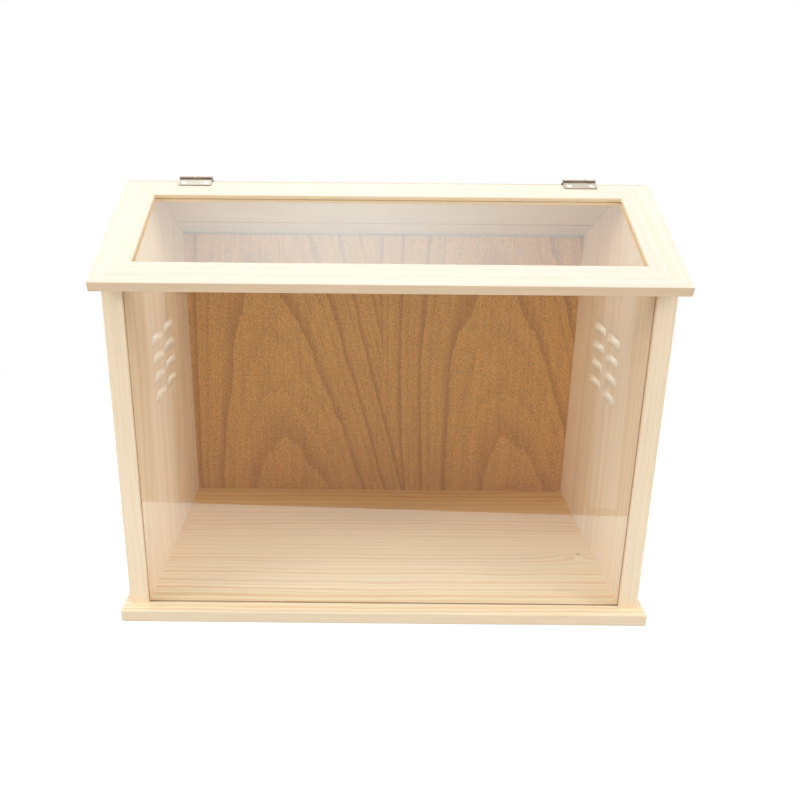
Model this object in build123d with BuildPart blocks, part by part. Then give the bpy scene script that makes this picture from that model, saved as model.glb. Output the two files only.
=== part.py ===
"""House-shaped hamster cage of pine, plywood and clear acrylic, with a lid hinged at its ridge.

Millimetres, +Z up, front towards -Y, origin at the middle of the base board's underside.
"""
from build123d import *
import os
from math import atan2, cos, degrees, radians, sin, tan

# Carcass
carcass_width = 390.0         # over the outer faces of the side panels
carcass_depth = 224.0         # front edge to rear edge of a side panel
eave_height = 249.0           # side panel's height at its front and rear edges
roof_slope = 24.0             # degrees, the same front and rear
side_thickness = 14.0
edge_round = 0.8              # radius of the softened wood arrises

# Base board
base_thickness = 9.0
base_side_overhang = 5.0
base_end_overhang = 11.0
base_corner_radius = 1.5

# Front pane and its grooves
pane_thickness = 3.0
pane_lip = 3.0                # wood left in front of the side grooves
pane_play = 0.15              # between each face of the pane and its groove
pane_groove_depth = 6.0       # into each side panel
pane_edge_play = 0.5          # between the pane's edge and the bottom of its groove
base_groove_depth = 3.0
pane_seat_gap = 0.2           # under the pane at rest
pane_lift = 3.0               # how far the pane rises under the closed lid
pane_top_gap = 0.5            # left above the lifted pane

# Back panel and its grooves
back_thickness = 4.0
back_lip = 3.0                # wood left behind the side grooves
back_play = 0.1
back_groove_depth = 6.0
back_edge_play = 0.5
back_top_gap = 0.3

# Vent slots in each side panel
vent_length = 35.5
vent_height = 8.5
vent_column_gap = 6.0
vent_row_pitch = 15.4
vent_columns = 2
vent_rows = 4
vent_centre_height = 164.0    # above the base board

# Roof: a fixed rear board and a lid frame of the same stock
roof_thickness = 7.5
roof_side_overhang = 5.0
eave_overhang = 12.0          # along the slope
ridge_gap = 0.6               # between the lower edges of lid and rear board, along the slopes
lid_seat_gap = 0.2            # under the closed lid

# Lid frame and its pane
stile_width = 25.0
front_rail_width = 25.0
back_rail_width = 20.0
lid_pane_thickness = 2.0
lid_pane_play = 0.1
lid_groove_depth = 5.0
lid_pane_edge_play = 0.4
lid_lower_lip = 2.3           # wood under the lid pane's groove

# Butt hinges on the ridge
hinge_length = 25.0
hinge_inset = 53.0            # from each end of the lid to the middle of its hinge
leaf_thickness = 0.8
leaf_on_board = 6.6           # width of a leaf that lies on its board
leaf_corner_radius = 1.2
barrel_radius = 1.6
barrel_lift = 1.1             # barrel's centre line above the lid's top face
pin_radius = 0.8
pin_grip = 0.02               # radial room in the roof leaf, which holds the pin
pin_play = 0.05               # radial room in the lid leaf, which turns on the pin
knuckle_gap = 0.3

# Fasteners
fastener_play = 0.05          # radial room of each fastener in its pilot hole
pilot_extra = 0.5             # pilot hole's extra depth past a fastener's tip
hinge_screw_length = 6.0
hinge_screw_radius = 1.0
hinge_screw_head_radius = 1.7
hinge_screw_spacing = 17.0
hinge_screw_setback = 3.3     # from the board's ridge edge
base_screw_length = 30.0
base_screw_radius = 1.75
base_screw_head_radius = 3.5
base_screw_recess = 0.3
base_screws_per_side = 3
base_screw_pitch = 80.0
recess_length_share = 1.1     # a cross recess's slot length and width, as shares of the head's radius
recess_width_share = 0.3
recess_depth_share = 0.6      # its depth, as a share of the head's height
tip_share = 2.0               # a fastener's tip length, as a share of its radius
brad_length = 28.0
brad_radius = 0.6
brad_head_radius = 1.0
brad_head_height = 0.6
brads_per_side = 3
brad_pitch = 40.0
corner_nail_leg = 5.0
corner_nail_thickness = 0.6
corner_nail_height = 5.0

# Sizes that follow from those above
inner_width = carcass_width - 2 * side_thickness
inner_x = inner_width / 2
side_middle_x = inner_x + side_thickness / 2
front_y = -carcass_depth / 2
rear_y = carcass_depth / 2
slope = radians(roof_slope)
ridge_z = base_thickness + eave_height + carcass_depth / 2 * tan(slope)

base_width = carcass_width + 2 * base_side_overhang
base_depth = carcass_depth + 2 * base_end_overhang

pane_groove_width = pane_thickness + 2 * pane_play
pane_y = front_y + pane_lip + pane_groove_width / 2
pane_width = inner_width + 2 * (pane_groove_depth - pane_edge_play)
back_groove_width = back_thickness + 2 * back_play
back_y = rear_y - back_lip - back_groove_width / 2
back_width = inner_width + 2 * (back_groove_depth - back_edge_play)

roof_width = carcass_width + 2 * roof_side_overhang
roof_length = carcass_depth / 2 / cos(slope) + eave_overhang
ridge_edge = -ridge_gap / 2
lid_top = lid_seat_gap + roof_thickness
lid_groove_height = lid_pane_thickness + 2 * lid_pane_play
hinge_spacing = roof_width - 2 * hinge_inset
hinge_pilot_depth = hinge_screw_length - leaf_thickness + pilot_extra

# Each slope has its own plane on the side panels' top edges, from the ridge, with its y axis up the slope.
front_slope = Plane(origin=(0, 0, ridge_z), x_dir=(1, 0, 0), z_dir=(0, -sin(slope), cos(slope)))
rear_slope = Plane(origin=(0, 0, ridge_z), x_dir=(-1, 0, 0), z_dir=(0, sin(slope), cos(slope)))
lid_plane = front_slope.offset(lid_seat_gap)
underside = Plane(origin=(0, 0, 0), x_dir=(1, 0, 0), z_dir=(0, 0, -1))
lid_top_plane = front_slope.offset(lid_top)
roof_top_plane = rear_slope.offset(roof_thickness)

# The hinge line lies above the ridge, on the middle plane of the roof.
hinge_rise = (lid_top + barrel_lift) / cos(slope)
hinge_z = ridge_z + hinge_rise
hinge_line_y = hinge_rise * sin(slope)

os.makedirs("parts", exist_ok=True)


def slope_height(y):
    """Height of the side panels' top edge at a distance y from the middle plane of the roof."""
    return ridge_z - abs(y) * tan(slope)


def countersunk_screw(length, radius, head_radius):
    """One screw, its head's face at the origin and its tip down, with a cross recess."""
    head_height = head_radius - radius
    slot_length = recess_length_share * head_radius
    slot_width = recess_width_share * head_radius
    with BuildPart() as screw:
        with BuildSketch(Plane.XZ):
            with BuildLine():
                Polyline(
                    (0, 0),
                    (head_radius, 0),
                    (radius, -head_height),
                    (radius, tip_share * radius - length),
                    (0, -length),
                    close=True,
                )
            make_face()
        revolve(axis=Axis.Z)
        with BuildSketch():
            Rectangle(slot_length, slot_width)
            Rectangle(slot_width, slot_length)
        extrude(amount=-recess_depth_share * head_height, mode=Mode.SUBTRACT)
    return screw.part


def headed_brad(length, radius, head_radius, head_height):
    """One brad, its head's face at the origin and its point down."""
    with BuildPart() as brad:
        with BuildSketch(Plane.XZ):
            with BuildLine():
                Polyline(
                    (0, 0),
                    (head_radius, 0),
                    (head_radius, -head_height),
                    (radius, -head_height),
                    (radius, tip_share * radius - length),
                    (0, -length),
                    close=True,
                )
            make_face()
        revolve(axis=Axis.Z)
    return brad.part


# Places of the fasteners, in the planes that they are driven from
hinge_centres = {"left": -hinge_spacing / 2, "right": hinge_spacing / 2}
hinge_screw_places = [
    (centre + side * hinge_screw_spacing / 2, ridge_edge - hinge_screw_setback)
    for centre in hinge_centres.values()
    for side in (-1, 1)
]
base_screw_ys = [base_screw_pitch * (i - (base_screws_per_side - 1) / 2) for i in range(base_screws_per_side)]
brad_middle_y = -carcass_depth / 4 / cos(slope)
brad_ys = [brad_middle_y + brad_pitch * (i - (brads_per_side - 1) / 2) for i in range(brads_per_side)]

# Base board
with BuildPart() as base_board:
    with BuildSketch():
        RectangleRounded(base_width, base_depth, base_corner_radius)
    extrude(amount=base_thickness)
    fillet(base_board.faces().filter_by(Axis.Z).edges(), edge_round)
    with BuildSketch(Plane.XY.offset(base_thickness)):
        with Locations((0, pane_y)):
            Rectangle(inner_width + 2 * pane_groove_depth, pane_groove_width)
    extrude(amount=-base_groove_depth, mode=Mode.SUBTRACT)
    with Locations(underside.offset(-base_screw_recess)):
        with Locations([(side * side_middle_x, y) for side in (-1, 1) for y in base_screw_ys]):
            CounterSinkHole(
                base_screw_radius + fastener_play,
                base_screw_head_radius + fastener_play,
                counter_sink_angle=90,
            )
base_board.part.label = "base_board"
export_step(base_board.part, "parts/base_board.step")

# Side panels, mirror images of each other
with BuildPart() as left_side_panel:
    with BuildSketch(Plane.YZ.offset(-carcass_width / 2)):
        with BuildLine():
            Polyline(
                (front_y, base_thickness),
                (rear_y, base_thickness),
                (rear_y, base_thickness + eave_height),
                (0, ridge_z),
                (front_y, base_thickness + eave_height),
                close=True,
            )
        make_face()
    extrude(amount=side_thickness)
    fillet(left_side_panel.edges().filter_by(Axis.Z), edge_round)
    with BuildSketch(Plane.XY.offset(base_thickness)):
        with Locations((-inner_x - pane_groove_depth / 2, pane_y)):
            Rectangle(pane_groove_depth, pane_groove_width)
        with Locations((-inner_x - back_groove_depth / 2, back_y)):
            Rectangle(back_groove_depth, back_groove_width)
    extrude(amount=ridge_z, mode=Mode.SUBTRACT)
    with BuildSketch(Plane.YZ.offset(-carcass_width / 2)):
        with Locations((0, base_thickness + vent_centre_height)):
            with GridLocations(vent_length + vent_column_gap, vent_row_pitch, vent_columns, vent_rows):
                SlotOverall(vent_length, vent_height)
    extrude(amount=side_thickness, mode=Mode.SUBTRACT)
    with Locations(underside.offset(-base_thickness)):
        with Locations([(-side_middle_x, y) for y in base_screw_ys]):
            Hole(
                base_screw_radius + fastener_play,
                base_screw_recess + base_screw_length - base_thickness + pilot_extra,
            )
    with Locations(rear_slope):
        with Locations([(side_middle_x, y) for y in brad_ys]):
            Hole(brad_radius + fastener_play, brad_length - roof_thickness + pilot_extra)
left_side_panel.part.label = "left_side_panel"
export_step(left_side_panel.part, "parts/left_side_panel.step")

with BuildPart() as right_side_panel:
    mirror(left_side_panel.part, about=Plane.YZ)
right_side_panel.part.label = "right_side_panel"
export_step(right_side_panel.part, "parts/right_side_panel.step")

# Back panel, from the base board up to the rear roof board
back_top = slope_height(back_y + back_thickness / 2) - back_top_gap
with BuildPart() as back_panel:
    with BuildSketch(Plane.XY.offset(base_thickness)):
        with Locations((0, back_y)):
            Rectangle(back_width, back_thickness)
    extrude(amount=back_top - base_thickness)
back_panel.part.label = "back_panel"
export_step(back_panel.part, "parts/back_panel.step")

# Front pane, which stands in the base groove and clears the closed lid when it is lifted
pane_bottom = base_thickness - base_groove_depth + pane_seat_gap
pane_top = slope_height(pane_y - pane_thickness / 2) + lid_seat_gap / cos(slope) - pane_lift - pane_top_gap
with BuildPart() as front_pane:
    with BuildSketch(Plane.XY.offset(pane_bottom)):
        with Locations((0, pane_y)):
            Rectangle(pane_width, pane_thickness)
    extrude(amount=pane_top - pane_bottom)
front_pane.part.label = "front_pane"
export_step(front_pane.part, "parts/front_pane.step")

# Rear roof board
with BuildPart() as rear_roof_board:
    with BuildSketch(rear_slope):
        with Locations((0, ridge_edge)):
            Rectangle(roof_width, roof_length + ridge_edge, align=(Align.CENTER, Align.MAX))
    extrude(amount=roof_thickness)
    fillet(rear_roof_board.edges(), edge_round)
    with Locations(roof_top_plane):
        with Locations(hinge_screw_places):
            Hole(hinge_screw_radius + fastener_play, hinge_pilot_depth)
        with Locations([(side * side_middle_x, y) for side in (-1, 1) for y in brad_ys]):
            CounterBoreHole(
                brad_radius + fastener_play,
                brad_head_radius + fastener_play,
                brad_head_height,
            )
rear_roof_board.part.label = "rear_roof_board"
export_step(rear_roof_board.part, "parts/rear_roof_board.step")

# Corners of the lid frame and of its opening, in the lid's own plane
outer_x = roof_width / 2
open_x = outer_x - stile_width
open_back = ridge_edge - back_rail_width
open_front = front_rail_width - roof_length
outer_corners = {
    "back_left": (-outer_x, ridge_edge),
    "back_right": (outer_x, ridge_edge),
    "front_right": (outer_x, -roof_length),
    "front_left": (-outer_x, -roof_length),
}
open_corners = {
    "back_left": (-open_x, open_back),
    "back_right": (open_x, open_back),
    "front_right": (open_x, open_front),
    "front_left": (-open_x, open_front),
}
open_middle_y = (open_back + open_front) / 2
open_length = open_back - open_front

# V-nails, driven from below across the middle of each mitre
with BuildPart() as lid_corner_nails:
    with BuildSketch(lid_plane):
        for corner, (ox, oy) in outer_corners.items():
            ix, iy = open_corners[corner]
            mitre_angle = degrees(atan2(oy - iy, ox - ix))
            with Locations(Location(((ox + ix) / 2, (oy + iy) / 2, 0), (0, 0, mitre_angle))):
                for turn in (-45, 45):
                    Rectangle(
                        corner_nail_leg,
                        corner_nail_thickness,
                        rotation=turn,
                        align=(Align.MIN, Align.CENTER),
                    )
    extrude(amount=corner_nail_height)
lid_corner_nails.part.label = "lid_corner_nails"
export_step(lid_corner_nails.part, "parts/lid_corner_nails.step")

# Lid frame members, each between two mitres
slope_axis = Axis((0, 0, 0), (0, cos(slope), sin(slope)))
frame_members = {
    "lid_front_rail": ("front_left", "front_right", Axis.X),
    "lid_back_rail": ("back_left", "back_right", Axis.X),
    "lid_left_stile": ("front_left", "back_left", slope_axis),
    "lid_right_stile": ("front_right", "back_right", slope_axis),
}
for label, (first, second, along) in frame_members.items():
    with BuildPart() as member:
        with BuildSketch(lid_plane):
            with BuildLine():
                Polyline(
                    outer_corners[first],
                    outer_corners[second],
                    open_corners[second],
                    open_corners[first],
                    close=True,
                )
            make_face()
        extrude(amount=roof_thickness)
        fillet(member.edges().filter_by(along), edge_round)
        with BuildSketch(lid_plane.offset(lid_lower_lip)):
            with Locations((0, open_middle_y)):
                Rectangle(2 * (open_x + lid_groove_depth), open_length + 2 * lid_groove_depth)
        extrude(amount=lid_groove_height, mode=Mode.SUBTRACT)
        add(lid_corner_nails.part, mode=Mode.SUBTRACT)
        if label == "lid_back_rail":
            with Locations(lid_top_plane):
                with Locations(hinge_screw_places):
                    Hole(hinge_screw_radius + fastener_play, hinge_pilot_depth)
    member.part.label = label
    export_step(member.part, f"parts/{label}.step")

# Lid pane, held in the frame's groove
with BuildPart() as lid_pane:
    with BuildSketch(lid_plane.offset(lid_lower_lip + lid_pane_play)):
        with Locations((0, open_middle_y)):
            Rectangle(
                2 * (open_x + lid_groove_depth - lid_pane_edge_play),
                open_length + 2 * (lid_groove_depth - lid_pane_edge_play),
            )
    extrude(amount=lid_pane_thickness)
lid_pane.part.label = "lid_pane"
export_step(lid_pane.part, "parts/lid_pane.step")

# Butt hinges: the lid leaf has the middle knuckle, the roof leaf the two outer ones.
hinge_end = hinge_length / 2
knuckle_length = (hinge_length - 2 * knuckle_gap) / 3
middle_knuckle = [-knuckle_length / 2]
outer_knuckles = [-hinge_end, hinge_end - knuckle_length]


def hinge_leaf(top_plane, centre_x, own_knuckles, other_knuckles, bore_radius):
    """One leaf on its board's top face, with its own knuckles and room for the other leaf's."""
    plate_end = ridge_edge - leaf_on_board
    plan_x = centre_x * top_plane.x_dir.X
    with BuildPart() as leaf:
        with BuildSketch(top_plane):
            with Locations((plan_x, plate_end)):
                Rectangle(hinge_length, hinge_line_y - plate_end, align=(Align.CENTER, Align.MIN))
        extrude(amount=leaf_thickness)
        outer_edges = leaf.edges().filter_by(Axis((0, 0, 0), top_plane.z_dir)).sort_by(Axis.Z)[:2]
        fillet(outer_edges, leaf_corner_radius)
        for start in other_knuckles:
            with BuildSketch(Plane.YZ.offset(centre_x + start - knuckle_gap)):
                with Locations((0, hinge_z)):
                    Circle(barrel_radius + knuckle_gap)
            extrude(amount=knuckle_length + 2 * knuckle_gap, mode=Mode.SUBTRACT)
        for start in own_knuckles:
            with BuildSketch(Plane.YZ.offset(centre_x + start)):
                with Locations((0, hinge_z)):
                    Circle(barrel_radius)
            extrude(amount=knuckle_length)
        with BuildSketch(Plane.YZ.offset(centre_x - hinge_end)):
            with Locations((0, hinge_z)):
                Circle(bore_radius)
        extrude(amount=hinge_length, mode=Mode.SUBTRACT)
        with Locations(top_plane.offset(leaf_thickness)):
            with Locations(hinge_screw_places):
                CounterSinkHole(
                    hinge_screw_radius + fastener_play,
                    hinge_screw_head_radius + fastener_play,
                    counter_sink_angle=90,
                )
    return leaf.part


for hand, centre in hinge_centres.items():
    lid_leaf = hinge_leaf(lid_top_plane, centre, middle_knuckle, outer_knuckles, pin_radius + pin_play)
    lid_leaf.label = f"{hand}_hinge_lid_leaf"
    export_step(lid_leaf, f"parts/{hand}_hinge_lid_leaf.step")

    roof_leaf = hinge_leaf(roof_top_plane, centre, outer_knuckles, middle_knuckle, pin_radius + pin_grip)
    roof_leaf.label = f"{hand}_hinge_roof_leaf"
    export_step(roof_leaf, f"parts/{hand}_hinge_roof_leaf.step")

    with BuildPart() as hinge_pin:
        with BuildSketch(Plane.YZ.offset(centre - hinge_end)):
            with Locations((0, hinge_z)):
                Circle(pin_radius)
        extrude(amount=hinge_length)
    hinge_pin.part.label = f"{hand}_hinge_pin"
    export_step(hinge_pin.part, f"parts/{hand}_hinge_pin.step")

# Fasteners in groups of separate solids
hinge_screw = countersunk_screw(hinge_screw_length, hinge_screw_radius, hinge_screw_head_radius)
base_screw = countersunk_screw(base_screw_length, base_screw_radius, base_screw_head_radius)
roof_brad = headed_brad(brad_length, brad_radius, brad_head_radius, brad_head_height)

with BuildPart() as lid_leaf_screws:
    with Locations(lid_top_plane.offset(leaf_thickness)):
        with Locations(hinge_screw_places):
            add(hinge_screw)
lid_leaf_screws.part.label = "lid_leaf_screws"
export_step(lid_leaf_screws.part, "parts/lid_leaf_screws.step")

with BuildPart() as roof_leaf_screws:
    with Locations(roof_top_plane.offset(leaf_thickness)):
        with Locations(hinge_screw_places):
            add(hinge_screw)
roof_leaf_screws.part.label = "roof_leaf_screws"
export_step(roof_leaf_screws.part, "parts/roof_leaf_screws.step")

with BuildPart() as base_screws:
    with Locations(underside.offset(-base_screw_recess)):
        with Locations([(side * side_middle_x, y) for side in (-1, 1) for y in base_screw_ys]):
            add(base_screw)
base_screws.part.label = "base_screws"
export_step(base_screws.part, "parts/base_screws.step")

with BuildPart() as roof_brads:
    with Locations(roof_top_plane):
        with Locations([(side * side_middle_x, y) for side in (-1, 1) for y in brad_ys]):
            add(roof_brad)
roof_brads.part.label = "roof_brads"
export_step(roof_brads.part, "parts/roof_brads.step")
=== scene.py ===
"""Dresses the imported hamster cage: pine boards, a plywood back, clear acrylic panes and plated hinges.

The file is laid out as an add-on and run as a script. Each operator finishes or makes one group of pieces,
main() calls them in order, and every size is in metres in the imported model's own frame.
"""
from collections import namedtuple
from math import cos, pi, radians, sin

import bmesh
import bpy
from bpy.props import FloatProperty, FloatVectorProperty, PointerProperty
from mathutils import Euler, Matrix, Vector


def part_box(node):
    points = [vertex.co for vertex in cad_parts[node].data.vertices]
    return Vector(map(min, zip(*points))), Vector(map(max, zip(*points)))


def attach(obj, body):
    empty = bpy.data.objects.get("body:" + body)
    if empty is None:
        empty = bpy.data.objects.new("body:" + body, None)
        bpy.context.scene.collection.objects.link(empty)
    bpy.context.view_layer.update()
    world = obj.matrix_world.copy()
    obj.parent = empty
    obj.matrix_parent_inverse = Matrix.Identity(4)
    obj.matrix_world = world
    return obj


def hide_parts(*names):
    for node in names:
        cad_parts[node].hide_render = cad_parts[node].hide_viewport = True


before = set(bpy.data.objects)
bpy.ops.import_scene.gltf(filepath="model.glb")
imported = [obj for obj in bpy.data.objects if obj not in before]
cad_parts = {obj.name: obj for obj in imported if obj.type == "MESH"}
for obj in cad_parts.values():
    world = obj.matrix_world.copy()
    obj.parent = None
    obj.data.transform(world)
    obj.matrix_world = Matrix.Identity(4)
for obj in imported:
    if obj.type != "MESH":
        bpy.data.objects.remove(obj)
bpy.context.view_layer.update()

bl_info = {
    "name": "Hamster Cage Dresser",
    "version": (1, 0, 0),
    "blender": (4, 5, 0),
    "location": "3D View > Sidebar > Cage",
    "description": "Finishes a pine hamster cage with clear panes and plated hinges, and sets its stage",
    "category": "Object",
}

WHITE = (1, 1, 1)
ROOF_SLOPE = radians(24)
LID_NORMAL = Vector((0, -sin(ROOF_SLOPE), cos(ROOF_SLOPE)))
ROOF_NORMAL = Vector((0, sin(ROOF_SLOPE), cos(ROOF_SLOPE)))
UNDERSIDE = Vector((0, 0, -1))

# Turns that lay a board's length on x, its width on y and its thickness on z
LENGTH_ON_X = (0, 0, 0)
UPRIGHT = (0, pi / 2, 0)
REAR_SLOPE = (ROOF_SLOPE, 0, 0)
LID_RAIL = (-ROOF_SLOPE, 0, 0)
LID_STILE = (-ROOF_SLOPE, 0, -pi / 2)

# The range that most values of a noise texture lie in
NOISE_RANGE = (0.3, 0.7)

# How fine the fibre, the streaks and the pores of wood are, along the grain and across it, and the noise
# values between which a pore opens
FIBRE_FINENESS = (16, 900, 900)
STREAK_FINENESS = (2.5, 85, 85)
PORE_FINENESS = (48, 1250, 1250)
PORE_EDGE = (0.60, 0.72)

# Growth of the pine: the pith's depth under a board, the parts of a year in which its line darkens and ends,
# the share of a line that the faintest years and streaks keep, and the edge of the painted shade about the
# pith, in Heart Radius units
PITH_DEPTH = (0.03, 0.08)
LINE_DARKENS = (0.25, 0.90)
LINE_ENDS = (0.92, 1.0)
FAINTEST_YEAR = 0.25
FAINTEST_STREAK = 0.55
PAINTED_SHADE_EDGE = (0.25, 1.75)

# Bends and ripples of the pine's grain: squeeze across the board, fineness, and reach in metres
GRAIN_WAVES = ((5, 4.0, 0.006), (4, 26.0, 0.0016))

# Depth of the relief on wood and on plated metal
WOOD_RELIEF = 0.00012
METAL_RELIEF = 0.00001

# Cards that the panes reflect: height over the ground, and corners on x and y
LID_CARD = (2.1, [(-1.8, 0.4), (1.8, 0.4), (1.8, 2.4), (-1.8, 2.4)])
FRONT_CARD = (0.0005, [(-0.6, -0.325), (0.6, -0.265), (0.6, -0.13), (-0.6, -0.13)])
DARK_CARD = (0.0005, [(-2.5, -3.0), (2.5, -3.0), (2.5, -0.17), (-2.5, -0.42)])
LEFT_CARD = (0.001, [(-0.495, -1.4), (-0.452, -1.4), (-0.2, -0.307), (-0.222, -0.306)])
RIGHT_CARD = (0.001, [(0.512, -1.42), (0.576, -1.42), (0.232, -0.298), (0.206, -0.304)])


# Settings that a user would change


def setting_kind(prop, **options):
    """A short call for one kind of property."""

    def setting(name, description, default):
        return prop(name=name, description=description, default=default, min=0, **options)

    return setting


colour_setting = setting_kind(FloatVectorProperty, subtype="COLOR", size=3, max=1)
length_setting = setting_kind(FloatProperty, unit="LENGTH", precision=4)
number_setting = setting_kind(FloatProperty)
power_setting = setting_kind(FloatProperty, unit="POWER")


class CagePineSettings(bpy.types.PropertyGroup):
    """Colours and growth of the pine boards."""

    early: colour_setting("Earlywood", "Pale wood between the growth lines", (0.925, 0.757, 0.543))
    late: colour_setting("Latewood", "Orange wood of the growth lines", (0.84, 0.54, 0.26))
    base_early: colour_setting("Base earlywood", "Pale wood of the base board", (0.935, 0.825, 0.605))
    base_late: colour_setting("Base latewood", "Growth lines of the base board", (0.845, 0.57, 0.283))
    # Painted shade: the base board's sawn edges take a darker colour than its top
    base_rim_shade: colour_setting("Base rim", "Sawn edges of the base board", (0.858, 0.70, 0.497))
    # Painted shade: darker, more orange wood towards the back of the base's top, inside the cage
    base_back_shade: colour_setting("Base heartwood", "Dark wood along the base's back", (0.87, 0.565, 0.165))
    # Painted shade: the rear roof board has darker pine than the other boards
    roof_shaded_early: colour_setting("Roof earlywood", "Pale wood of the rear roof board", (0.73, 0.585, 0.40))
    roof_shaded_late: colour_setting("Roof latewood", "Growth lines of the rear roof board", (0.72, 0.47, 0.23))
    lid_early: colour_setting("Lid earlywood", "Pale wood of the lid frame", (0.85, 0.755, 0.635))
    lid_late: colour_setting("Lid latewood", "Growth lines of the lid frame", (0.84, 0.675, 0.465))
    # Painted shade: the lid rails' sawn edges take a darker colour than their tops
    lid_rim_shade: colour_setting("Lid rim", "Sawn edges of the lid's rails", (0.795, 0.59, 0.385))
    # Partly painted light: raw orange wood on the walls of the lid's opening and in its pane's groove, made
    # lighter against the shade there
    lid_raw_edge_and_light: colour_setting("Lid edge", "Raw wood on the walls of the lid's opening", (0.98, 0.77, 0.50))
    seam: colour_setting("Seam", "Open joint between the rear roof board's staves", (0.34, 0.23, 0.13))
    knot: colour_setting("Knot", "Heart of a pin knot", (0.36, 0.19, 0.08))
    # Painted shade: a dark brown laid inside the grooves that hold the front pane and the back panel
    kerf: colour_setting("Kerf", "Burnt wood inside the sawn grooves", (0.50, 0.25, 0.10))
    # Painted light: a pale colour laid on the walls inside the vent slots, where light from outside falls
    vent_wall_light: colour_setting("Vent wall", "Fresh wood inside the vent slots", (0.97, 0.89, 0.76))
    stave_width: length_setting("Stave width", "Width of the strips that are glued into a board", 0.058)
    ring_spacing: length_setting("Ring spacing", "Thickness of a year's growth", 0.0055)


class CagePlywoodSettings(bpy.types.PropertyGroup):
    """Colours and figure of the plywood back."""

    light: colour_setting("Light veneer", "Veneer inside a flame's edge", (0.69, 0.365, 0.088))
    dark: colour_setting("Dark veneer", "Veneer outside a flame's edge", (0.475, 0.218, 0.047))
    speck: colour_setting("Speck", "Small dark marks in the veneer", (0.08, 0.04, 0.02))
    core: colour_setting("Core", "Inner ply, which shows at the edges", (0.66, 0.48, 0.28))
    flame_pitch: length_setting("Flame pitch", "Distance between the middles of two flames", 0.218)
    flame_breadth: length_setting("Flame breadth", "Half width squared, for each metre below its top", 0.0215)
    ring_step: length_setting("Ring step", "Height between the tops of two lines in a flame", 0.0535)


class CageHardwareSettings(bpy.types.PropertyGroup):
    """Panes, hinges and fasteners."""

    acrylic: colour_setting("Acrylic", "Tint of the clear panes", (0.985, 0.99, 0.985))
    # One plating on leaves and barrels: the leaves' darker colour is painted shade and the barrels' lighter
    # colour painted light
    leaf: colour_setting("Hinge leaf", "Plating of the hinges' flat leaves", (0.325, 0.268, 0.22))
    barrel: colour_setting("Hinge barrel", "Plating of the hinges' rolled barrels", (0.60, 0.525, 0.455))
    zinc: colour_setting("Zinc", "Plating of the screws, brads and corner nails", (0.66, 0.66, 0.64))
    hinge_thread_pitch: length_setting("Hinge screw pitch", "Thread pitch of the hinge screws", 0.0009)
    base_thread_pitch: length_setting("Base screw pitch", "Thread pitch of the base screws", 0.0018)


class CageStageSettings(bpy.types.PropertyGroup):
    """Floor, light and reflected cards."""

    floor: colour_setting("Floor", "Pale floor under the cage", (0.70, 0.70, 0.70))
    ambient: number_setting("Ambient", "Light from all around", 0.51)
    top_power: power_setting("Top", "Power of the softbox above the cage", 20)
    side_power: power_setting("Sides", "Power of each softbox at the sides", 20)
    lid_glare: number_setting("Lid glare", "Brightness that the card over the lid adds to its white", 1.3)
    lid_hot_spot: number_setting("Lid hot spot", "Brightness that the middle of that card adds", 4.1)
    front_glare: number_setting("Front glare", "Brightness that the front card adds to its white", 3.1)
    side_glare: number_setting("Side glare", "Brightness of the cards at the front pane's two ends", 1.3)
    glare: colour_setting("Glare", "Cool light of the cards before the front pane", (0.65, 0.88, 1.0))
    lid_tone: colour_setting("Lid tone", "Light of the card over the lid", (0.82, 0.975, 1.0))


SETTINGS = {
    "cage_pine": CagePineSettings,
    "cage_plywood": CagePlywoodSettings,
    "cage_hardware": CageHardwareSettings,
    "cage_stage": CageStageSettings,
}


# Node trees


class Field:
    """A node's output. Sums work on numbers as they are, and on vectors and colours axis by axis."""

    def __init__(self, graph, socket):
        self.graph = graph
        self.socket = socket

    def combine(self, operation, *values):
        """Adds the maths node that suits this field's kind."""
        kind = "ShaderNodeVectorMath" if self.socket.type in {"VECTOR", "RGBA"} else "ShaderNodeMath"
        return self.graph.field(kind, dict(enumerate(values)), operation=operation)

    def __abs__(self):
        return self.combine("ABSOLUTE", self)

    def __add__(self, other):
        return self.combine("ADD", self, other)

    def __sub__(self, other):
        return self.combine("SUBTRACT", self, other)

    def __rsub__(self, other):
        return self.combine("SUBTRACT", other, self)

    def __mul__(self, other):
        return self.combine("MULTIPLY", self, other)

    def __truediv__(self, other):
        return self.combine("DIVIDE", self, other)


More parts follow.
